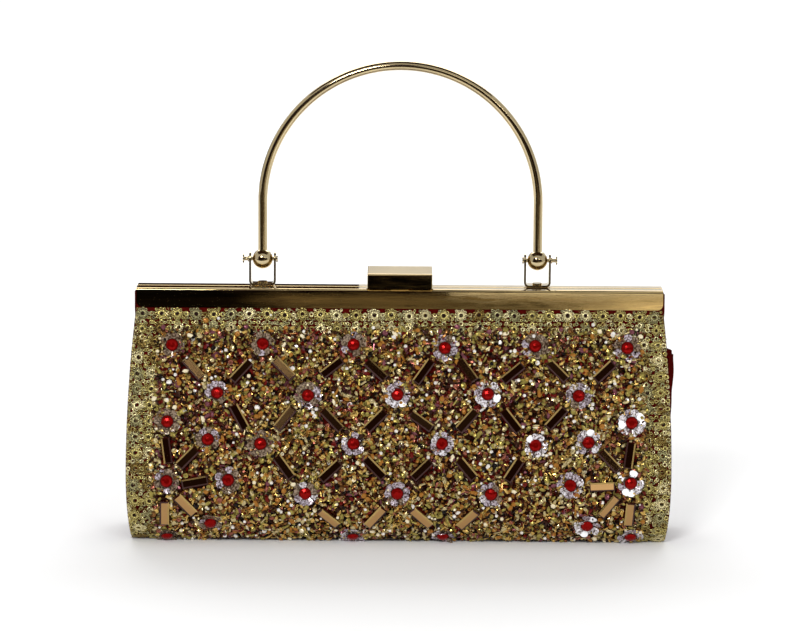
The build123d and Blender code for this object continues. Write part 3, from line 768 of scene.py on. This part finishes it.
def make_trims():
    """Flowers with their stones, and the baguettes."""
    x, distance = flower_places.T
    n = len(x)
    turn = rng.uniform(0, 1, n)
    size = rng.uniform(0.93, 1.07, (n, 1)) * np.ones((1, 3))
    flowers = Pile()
    # Painted glare: a sequin's tone climbs towards the bag's right, with a random spread.
    glow = 1.2 + 1.35 * x / MIDDLE_HALF + rng.normal(0, 0.45, n)
    glow -= 1.1 * (distance < FIRST_ROW + ROW / 2)  # the first row's sequins are smoky
    base = lathe([(0, 0), (0.62 * FLOWER_RADIUS, 0), (0.62 * FLOWER_RADIUS, 0.3 * MM), (0, 0.4 * MM)], 16)
    flowers.add(base, lay(x, distance, 0.9 * MM, turn), 0)
    pearl = lathe([(0, -1), (0.8, -0.6), (1, 0), (0.8, 0.6), (0, 1)], 7)
    for spoke in circle(PETALS):
        angle = turn + spoke + rng.normal(0, 0.06, n)
        tone = np.round(glow + rng.normal(0, 0.6, n)).astype(int).clip(0, 3)
        flowers.add(petal_shape(FLOWER_RADIUS), lay(x, distance, 1.3 * MM, angle, 0.16, size), tone)
        ring = 1.18 * STONE_RADIUS
        bx, bd = x + ring * np.cos(angle + 0.35), distance - ring * np.sin(angle + 0.35)
        dot = np.full((n, 3), 0.36 * MM)
        flowers.add(pearl, lay(bx, bd, 2.0 * MM, angle, 0.3, dot), (tone - 1).clip(0, 3))
    piece = flowers.build("flower_sequin_discs", flower_materials, False)
    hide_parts("flower_sequins", "top_flowers")
    fold_with(piece)
    stones = Pile()
    seats = lay(x, distance, 1.75 * MM, turn, 0.06)
    stones.add(stone_shape(), seats, 0)
    stones.add(tube(ring_points(1.02 * STONE_RADIUS, 20), 0.2 * MM, 5, True), seats, 1)
    piece = stones.build("red_faceted_stones", [stone_material, stone_rim], False)
    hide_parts("red_stones", "top_stones")
    fold_with(piece)
    x, distance, turn = baguette_places.T
    n = len(x)
    bars = Pile()
    wobble = rng.normal(0, 0.1, n)
    size = np.stack([rng.uniform(0.93, 1.05, n), rng.uniform(0.9, 1.05, n), np.ones(n)], 1)
    matrices = lay(x, distance, 1.35 * MM, turn + wobble, 0.05, size)
    verts, faces = baguette_shape()
    # Slot 1, the upper bevel and wall, is painted light; slot 2, the other sides and the underside, painted
    # shade.
    for slot, chosen in ((0, (0,)), (1, (3, 7)), (2, (1, 2, 4, 5, 6, 8, 9))):
        bars.add((verts, [faces[k] for k in chosen]), matrices, slot)
    piece = bars.build("mirror_baguettes", [mirror_material, painted_lit_edge, painted_shade_sides], False)
    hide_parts("baguette_beads")
    fold_with(piece)


def ring_points(radius, steps):
    """Points round a level circle."""
    angle = circle(steps)
    return np.stack([radius * np.cos(angle), radius * np.sin(angle), np.zeros(steps)], 1)


def rosette():
    """A rosette of the net: a thick thread-wound ring inside a ring of small loops."""
    verts, faces = tube(ring_points(1.25 * MM, 20), 0.46 * MM, 5, True, 0.25, 10)
    loop_verts, loop_faces = tube(ring_points(0.52 * MM, 8), 0.24 * MM, 4, True, 0.2, 4)
    ring = 2.15 * MM
    for k, angle in enumerate(circle(9)):
        offset = np.array([ring * math.cos(angle), ring * math.sin(angle), 0.25 * MM * (k % 2)])
        faces = faces + [tuple(len(verts) + v for v in face) for face in loop_faces]
        verts = np.concatenate([verts, loop_verts + offset])
    return verts, faces


def net_places():
    """Rosettes as (x, distance, size): two rows under the bar, and two columns down each side."""
    columns = int(round(TOP_HALF * 2 / NET_PITCH))
    places = []
    for row, (d, size) in enumerate(((3.0 * MM, 1.0), (9.0 * MM, 0.8))):
        for i in range(columns):
            places.append(((i + 0.5 - columns / 2) * NET_PITCH, d, size))
    lowest = floor_distance(NET_HEIGHT) - 2.4 * MM
    first = 8.4 * MM
    rows = int(round((lowest - first) / (0.93 * NET_PITCH)))
    for row in range(1, rows + 1):
        d = first + (lowest - first) * row / rows
        edge = float(half_width(on_cloth(d)[1])) - 3.1 * MM
        for column, size in ((0, 1.0), (1, 0.95)):
            for side in (-1, 1):
                places.append((side * (edge - column * 0.93 * NET_PITCH), d, size))
    return np.array(places)


# Rings between the net's rosettes: place (across, down) in half pitches, lift, tip and size.
NET_RINGS = (
    (1, 0, 0.6 * MM, 0.15, 1.0),
    (-1, 0, 0.6 * MM, 0.15, 0.85),
    (0, 0.95, 0.6 * MM, 0.15, 1.0),
    (1, 0.95, 0.45 * MM, 0.2, 0.8),
    (-1, 0.95, 0.45 * MM, 0.2, 0.75),
)
# Thread eyes round each rosette: place in half pitches.
NET_EYES = ((0.6, 0.5), (-0.6, 0.55), (0.55, -0.6), (-0.6, -0.5))
NET_EYES += ((0.9, 0.5), (-0.9, 0.45), (0.35, 1), (-0.4, 1))


def make_net():
    """Metallic guipure net: rosettes joined by rings and thread bars, in the three strips of the CAD."""
    strips = {"top": Pile(), "left": Pile(), "right": Pile()}

    def place(shape, x, distance, lift, turn, tip, scale, color=None):
        """Adds a shape wherever it stays on the cloth, moved in from the cloth's side edges."""
        half_x, half_y = np.abs(shape[0][:, :2]).max(0)
        reach = (np.abs(np.cos(turn)) * half_x + np.abs(np.sin(turn)) * half_y) * scale
        edge = half_width(on_cloth(distance)[1]) - NET_INSET - reach
        fits = (np.abs(x) < edge + 3 * MM) & (distance > 0.8 * MM)
        fits &= distance < floor_distance(NET_HEIGHT) - 0.5 * MM
        x = np.clip(x, -edge, edge)
        n = int(fits.sum())
        turns = np.broadcast_to(turn, len(x))[fits] + rng.normal(0, 0.08, n)
        scales = np.broadcast_to(scale, len(x))[fits][:, None] * rng.uniform(0.92, 1.08, (n, 3))
        matrices = lay(x[fits], distance[fits], lift, turns, tip, scales)
        if color is None:
            colors = rng.choice(len(NET_COLORS), n, p=NET_SHARES)
        else:
            colors = np.full(n, color)
        strip = np.where(distance[fits] < NET_DEPTH, "top", np.where(x[fits] < 0, "left", "right"))
        for name, pile in strips.items():
            pile.add(shape, matrices[strip == name], colors[strip == name])

    x, distance, size = net_places().T
    n = len(x)
    x = x + rng.normal(0, 0.25 * MM, n)
    distance = distance + rng.normal(0, 0.2 * MM, n)
    place(rosette(), x, distance, 0.7 * MM, rng.uniform(0, 0.8, n), 0.07, size)
    # A dark disc under each rosette, below its ring: painted shade that shows through the hole.
    painted_shade_disc = lathe([(0, 0), (1.0 * MM, 0), (1.0 * MM, 0.15 * MM), (0, 0.15 * MM)], 10)
    place(painted_shade_disc, x, distance, 0.3 * MM, 0, 0, 1.0, len(NET_COLORS))
    half = NET_PITCH / 2
    ring = tube(ring_points(0.85 * MM, 14), 0.38 * MM, 5, True, 0.2, 7)
    eye = tube(ring_points(0.5 * MM, 8), 0.26 * MM, 4, True, 0.15, 4)
    for across, down, lift, tip, scale in NET_RINGS:
        place(ring, x + across * half, distance + down * half, lift, 0, tip, scale)
    for across, down in NET_EYES:
        spot_x = x + across * half + rng.normal(0, 0.2 * MM, n)
        place(eye, spot_x, distance + down * half, 0.75 * MM, 0, 0.3, 1.0)
    curl = 0.3 * MM
    bends = [(-half, 0, 0), (-0.3 * half, curl, curl), (0.4 * half, -curl, curl), (half, 0, 0)]
    thread = tube(bends, 0.16 * MM, 4)
    for _ in range(3):
        spot_x, spot_d = x + rng.uniform(-half, half, n), distance + rng.uniform(-half, half, n)
        place(thread, spot_x, spot_d, 0.9 * MM, rng.uniform(0, math.pi, n), 0.1, 0.6)
    bar = tube([(-half, 0, 0), (0, 0, 0.25 * MM), (half, 0, 0)], 0.27 * MM, 5)
    for offset in (-0.55 * MM, 0.55 * MM):
        place(bar, x + half, distance + offset, 0.4 * MM, 0, 0.04, 0.8)
        place(bar, x + offset, distance + half, 0.4 * MM, math.pi / 2, 0.04, 0.8)
    for name, pile in strips.items():
        piece = pile.build("guipure_net_" + name, net_materials, True)
        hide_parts("net_border_" + name)
        fold_with(piece)


def clear_of_trims(x, distance, gap):
    """Which places keep off the flowers' middles and the baguettes."""
    keep = np.ones(len(x), bool)
    for fx, fd in flower_places:
        keep &= (x - fx) ** 2 + (distance - fd) ** 2 > (gap + 0.45 * FLOWER_RADIUS) ** 2
    for bx, bd, turn in baguette_places:
        across, down = x - bx, -(distance - bd)
        u = across * math.cos(turn) + down * math.sin(turn)
        v = down * math.cos(turn) - across * math.sin(turn)
        past_end = np.abs(u) > BAGUETTE[0] / 2 + gap * 0.6 - 1.2 * MM
        keep &= past_end | (np.abs(v) > BAGUETTE[1] / 2 + gap * 0.4)
    return keep


def scatter(pitch, jitter, gap):
    """A jittered grid of places over the field, clear of the net border and, by gap, of the trims."""
    distance = np.arange(NET_DEPTH - 1 * MM, LOWEST, pitch * 0.87)
    x = np.arange(-MIDDLE_HALF, MIDDLE_HALF, pitch)
    x, distance = np.meshgrid(x, distance)
    x = x + (np.arange(len(x)) % 2)[:, None] * pitch / 2
    x, distance = x.ravel(), distance.ravel()
    x = x + rng.normal(0, jitter, len(x))
    distance = np.minimum(distance + rng.normal(0, jitter, len(x)), LOWEST)
    inner_edge = half_width(on_cloth(distance)[1]) - NET_WIDTH
    inside = np.abs(x) < inner_edge + 1.0 * MM + rng.uniform(0, 2 * MM, len(x))
    x, distance = x[inside], distance[inside]
    keep = clear_of_trims(x, distance, gap)
    return x[keep], distance[keep]


def patches(x, distance):
    """A smooth value around 0 that drifts over the field, to gather finishes in patches."""
    value = np.zeros(len(x))
    for k in range(6):
        a, b, c = rng.normal(0, 180, 2).tolist() + [rng.uniform(0, ANY_TURN)]
        value += np.sin(a * x + b * distance + c)
    return value / 2.5


def choose_finish(x, distance, boost):
    """A bead finish for each place: random, with richer reds above and more gold below."""
    t = np.clip(distance / CLOTH_LENGTH, 0, 1)
    drift = patches(x, distance)
    weights = np.stack([row[4] * (1 - t) + row[5] * t for row in BEADS], 1)
    for name in ("dark_red", "purple", "copper", "dark_brown"):
        weights[:, bead_slot[name]] *= np.exp(1.0 * drift)
    for name in ("gold", "olive_gold", "champagne"):
        weights[:, bead_slot[name]] *= np.exp(-0.7 * drift)
    for name, factor in boost:
        weights[:, bead_slot[name]] *= factor
    edges = np.cumsum(weights / weights.sum(1, keepdims=True), 1)
    return (rng.uniform(0, 1, len(x))[:, None] > edges).sum(1).clip(0, len(BEADS) - 1)


SEED = lathe([(0.42, -0.34), (1.0, -0.4), (1.0, 0.4), (0.42, 0.34)], 6, True)
ROUND = lathe([(0, -1), (0.8, -0.62), (1.0, 0), (0.8, 0.62), (0, 1)], 7)
CHIP = lathe([(0, -0.5), (0.8, -0.45), (1.0, 0.05), (0.6, 0.55), (0, 0.6)], 5, wave=(1, 0.8, 1.1, 0.85, 1.05))
BUGLE = lathe([(0, -1), (0.36, -1), (0.36, 1), (0, 1)], 6)
FLAKE_EDGE = (1, 0.7, 0.9, 1.1, 0.75, 0.95)
FLAKE = lathe([(0, -0.25), (0.7, -0.2), (1, 0), (0.55, 0.28), (0, 0.36)], 6, wave=FLAKE_EDGE)
CUP = lathe([(0.16, 0.0), (0.6, 0.04), (1.0, 0.26), (1.0, 0.34), (0.6, 0.14), (0.16, 0.1)], 9, True)

# Finishes that a layer of beads has more or less of than the field.
# The bottom layer of seeds leans to dark finishes: painted shade in the gaps between the upper beads.
PAINTED_SHADE_BED = (("near_black", 1.8), ("dark_brown", 1.4))
# Near-white crystal and pearl beads scattered over the field: painted glints, besides the real clear beads.
PAINTED_GLINTS = (("crystal", 120), ("pearl", 14), ("champagne", 2))
LIT = (("champagne", 3), ("gold", 2), ("olive_gold", 2), ("amber", 1.5))
LIT += (("dark_brown", 0.4), ("near_black", 0.2))
LARGE = (("champagne", 6), ("amber", 5), ("olive_gold", 3), ("crystal", 8), ("pearl", 4), ("purple", 2))

# Beads mixed in one layer: shape, range of the mix, tip, sizes in mm, share of the size per axis, finishes.
MIXED = (
    (CHIP, (0.0, 0.42), 0.5, (0.6, 1.15), (1, 0.65, 0.6), (("crystal", 2), ("champagne", 1.5))),
    (ROUND, (0.42, 0.62), 0.6, (0.5, 0.9), (1, 1, 0.9), (("gold", 1.5), ("crystal", 3))),
    (BUGLE, (0.62, 0.82), 1.4, (0.8, 1.5), (1, 1, 1), (("champagne", 2),)),
    (CUP, (0.82, 1.01), 0.4, (0.8, 1.25), (1, 1, 1), (("crystal", 3), ("gold", 1.5))),
)
# Layers over them: shape, then pitch, jitter and gap in mm, lift in mm, and the same four as above.
UPPER = (
    (FLAKE, (3.0, 1.0, 1.2), 1.5, 0.45, (0.9, 1.8), (1, 0.75, 0.8), LIT),
    (ROUND, (6.2, 3, 1.3), 1.7, 0.5, (0.5, 0.95), (1, 1, 0.9), PAINTED_GLINTS),
    (ROUND, (6.8, 2.4, 1.6), 1.6, 0.3, (1.0, 1.5), (1, 0.85, 0.55), LARGE),
)
BANDS = 6  # the field's pieces, side by side


def sizes(n, span, shares):
    """n random sizes out of a span in mm, with a share of the size for each axis."""
    return rng.uniform(span[0] * MM, span[1] * MM, n)[:, None] * np.array(shares)[None]


def make_field():
    """The dense beads of the field: a bed of small seeds, and larger beads, chips and cups on it."""
    x, d = scatter(1.5 * MM, 0.2 * MM, 0.6 * MM)
    layers = [(SEED, x, d, 0.7 * MM, 0.55, sizes(len(x), (0.62, 0.92), (1, 1, 1)), PAINTED_SHADE_BED)]
    x, d = scatter(2.2 * MM, 0.7 * MM, 0.9 * MM)
    part = rng.uniform(0, 1, len(x))
    for shape, (low, high), tip, span, shares, finishes in MIXED:
        mine = (part >= low) & (part < high)
        layers.append((shape, x[mine], d[mine], 1.3 * MM, tip, sizes(mine.sum(), span, shares), finishes))
    for shape, grid, lift, tip, span, shares, finishes in UPPER:
        x, d = scatter(*[length * MM for length in grid])
        layers.append((shape, x, d, lift * MM, tip, sizes(len(x), span, shares), finishes))
    piles = [Pile() for _ in range(BANDS)]
    for shape, x, d, lift, tip, scale, finishes in layers:
        finish = choose_finish(x, d, finishes)
        matrices = lay(x, d, lift, rng.uniform(0, ANY_TURN, len(x)), tip, scale)
        band = ((x / MIDDLE_HALF + 1) / 2 * BANDS).astype(int).clip(0, BANDS - 1)
        for k, pile in enumerate(piles):
            pile.add(shape, matrices[band == k], finish[band == k])
    for k, pile in enumerate(piles):
        piece = pile.build(f"bead_field_{k + 1}", bead_materials, False)
        fold_with(piece)


# -------- stage
CAMERA_DISTANCE = 1.6
CAMERA_ELEVATION = math.radians(10.05)
CAMERA_TARGET = Vector((1.24 * MM, 0, 97.3 * MM))
CAMERA_ROLL = math.radians(0.4)
CAMERA_LENS = 163.7


def make_camera():
    """The camera at the photograph's viewing angle."""
    data = bpy.data.cameras.new("camera")
    data.lens = CAMERA_LENS
    data.clip_start, data.clip_end = 0.01, 20
    camera = new_object("camera", data)
    back = Vector((0, -math.cos(CAMERA_ELEVATION), math.sin(CAMERA_ELEVATION)))
    camera.location = CAMERA_TARGET + back * CAMERA_DISTANCE
    camera.rotation_euler = (-back).to_track_quat("-Z", "Y").to_euler()
    camera.rotation_euler.rotate_axis("Z", CAMERA_ROLL)
    bpy.context.scene.camera = camera


def area_light(name, place, aim, size, power):
    """A rectangular studio light that points at aim."""
    data = bpy.data.lights.new(name, "AREA")
    data.shape = "RECTANGLE"
    data.size, data.size_y = size
    data.energy = power
    light = new_object(name, data)
    light.location = place
    direction = Vector(aim) - Vector(place)
    light.rotation_euler = direction.to_track_quat("-Z", "Y").to_euler()


def card(name, corners, color):
    """A card seen only in reflections; returns its shader."""
    mesh = bpy.data.meshes.new(name)
    mesh.from_pydata(corners, [], [(0, 1, 2, 3)])
    material, shader = plain(name, (0, 0, 0), Specular_IOR_Level=0.0, Emission_Strength=1.0)
    feed(shader, Emission_Color=linear(color))
    piece = new_object(name, mesh, [material])
    piece.visible_camera = piece.visible_diffuse = piece.visible_shadow = False
    return shader


def level(x_low, x_high, near, far, z):
    """Corners of a level card."""
    return [(x_low, near, z), (x_high, near, z), (x_high, far, z), (x_low, far, z)]


def upright(x_low, x_high, y, z_low, z_high):
    """Corners of an upright card."""
    return [(x_low, y, z_low), (x_high, y, z_low), (x_high, y, z_high), (x_low, y, z_high)]


# Stretches of the floor in front of the bag that its metal reflects, by where they end.
TABLE_NEAR = -0.35
TABLE_FAR = -0.626
CAP_VIEW_FAR = -0.7
FAR_TABLE_FAR = -0.72
ROOM_FAR = -1.4
ROOM_HALF = 1.8
TABLE_HALF = 1.6
CARD_Z = 1 * MM


def make_table_card():
    """What the bars' fronts reflect: a tabletop, dark on the left and tan on the right, with streaks."""
    corners = level(-TABLE_HALF, TABLE_HALF, TABLE_NEAR, TABLE_FAR, CARD_Z)
    shader = card("table_card", corners, (0.1, 0.1, 0.1))
    tree = shader.id_data
    stops = [
        (0.0, (0.05, 0.035, 0.02)),
        (0.27, (0.06, 0.045, 0.025)),
        (0.34, (0.38, 0.33, 0.25)),
        (0.57, (0.43, 0.38, 0.29)),
        (0.68, (0.55, 0.5, 0.4)),
        (0.82, (0.65, 0.61, 0.52)),
    ]
    stray = spread(tree, noise(tree, 1.0, 3.0, (9, 50, 1)), -0.08, 0.08)
    place = combine(tree, "ADD", along(tree, "X", -0.2, 0.2), stray)
    feed(shader, Emission_Color=ramp(tree, place, stops))
    bands = spread(tree, noise(tree, 1.0, 1.0, (4, 30, 1)), 0.25, 2.1, 0.07)
    fine = spread(tree, noise(tree, 1.0, 3.0, (3, 80, 1)), 0.6, 1.5, 0.12)
    streaks = combine(tree, "MULTIPLY", bands, fine)
    far_right = combine(tree, "MULTIPLY", along(tree, "X", 0.05, 0.2), along(tree, "Y", -0.5, TABLE_FAR))
    lift = map_range(tree, far_right, (0, 1), (0.8, 1.35))
    feed(shader, Emission_Strength=combine(tree, "MULTIPLY", streaks, lift))


def make_cards():
    """What the metal and the mirrored beads reflect besides the lights."""
    make_table_card()
    room, dim, black = (0.12, 0.06, 0.04), (0.2, 0.13, 0.08), (0.03, 0.025, 0.02)
    tan, pale, white = (0.3, 0.26, 0.2), (0.95, 0.93, 0.88), (1, 1, 0.97)
    card("dark_room", upright(-ROOM_HALF, ROOM_HALF, ROOM_FAR, 0, 1.3), room)
    card("far_table", level(-ROOM_HALF, ROOM_HALF, TABLE_FAR, FAR_TABLE_FAR, CARD_Z), black)
    card("room_floor", level(-ROOM_HALF, ROOM_HALF, FAR_TABLE_FAR, ROOM_FAR, CARD_Z), tan)
    card("pale_table", level(0.03, TABLE_HALF, TABLE_FAR, CAP_VIEW_FAR, 2 * CARD_Z), pale)
    card("ceiling", level(-0.8, 0.8, -0.35, 0.55, 0.95), dim)
    card("behind_left", upright(-0.5, -0.022, 0.35, 0.12, 0.26), dim)
    card("front_strip", upright(0.08, 1.4, -0.9, 0.5, 0.75), white)


FLOOR_HALF = 3.0
CURVE_FROM = 1.2  # where the floor starts to curve up
CURVE_RADIUS = 0.8
CURVE_STEPS = 24


def make_stage():
    """A pale floor that runs up into a pale backdrop, and soft lights, the largest from behind."""
    profile = [(-2.5, 0), (1.0, 0)]
    for k in range(CURVE_STEPS + 1):
        a = k / CURVE_STEPS * math.pi / 2
        profile.append((CURVE_FROM + CURVE_RADIUS * math.sin(a), CURVE_RADIUS - CURVE_RADIUS * math.cos(a)))
    profile.append((CURVE_FROM + CURVE_RADIUS, 3.0))
    verts = [(x, y, z) for y, z in profile for x in (-FLOOR_HALF, FLOOR_HALF)]
    faces = [(2 * i, 2 * i + 1, 2 * i + 3, 2 * i + 2) for i in range(len(profile) - 1)]
    mesh = bpy.data.meshes.new("floor")
    mesh.from_pydata(verts, [], faces)
    mesh.polygons.foreach_set("use_smooth", [True] * len(mesh.polygons))
    white = (1, 1, 1, 1)
    material, shader = plain("pale_floor", (0.95, 0.95, 0.95), Roughness=0.8, Emission_Color=white)
    tree = material.node_tree
    glow = map_range(tree, along(tree, "Y", 0.3, 1.3), (0, 1), (0, 0.12), "SMOOTHSTEP")
    feed(shader, Emission_Strength=glow)
    new_object("floor", mesh, [material])
    scene = bpy.context.scene
    scene.view_settings.view_transform = "Standard"
    world = scene.world or bpy.data.worlds.new("world")
    scene.world = world
    world.use_nodes = True
    feed(world.node_tree.nodes["Background"], Color=white, Strength=0.6)
    area_light("key", (-0.35, -1.4, 0.9), (0, 0, 0.06), (0.35, 0.35), 13)
    area_light("fill", (0.6, -1.4, 0.7), (0, 0, 0.08), (0.3, 0.5), 4)
    area_light("back", (0.0, 1.15, 1.15), (0, 0, 0.05), (1.6, 0.8), 13)


make_walls()
make_base()
make_gussets()
make_gusset_linings()
make_pocket()
make_trims()
make_net()
make_field()
make_camera()
make_stage()
make_cards()
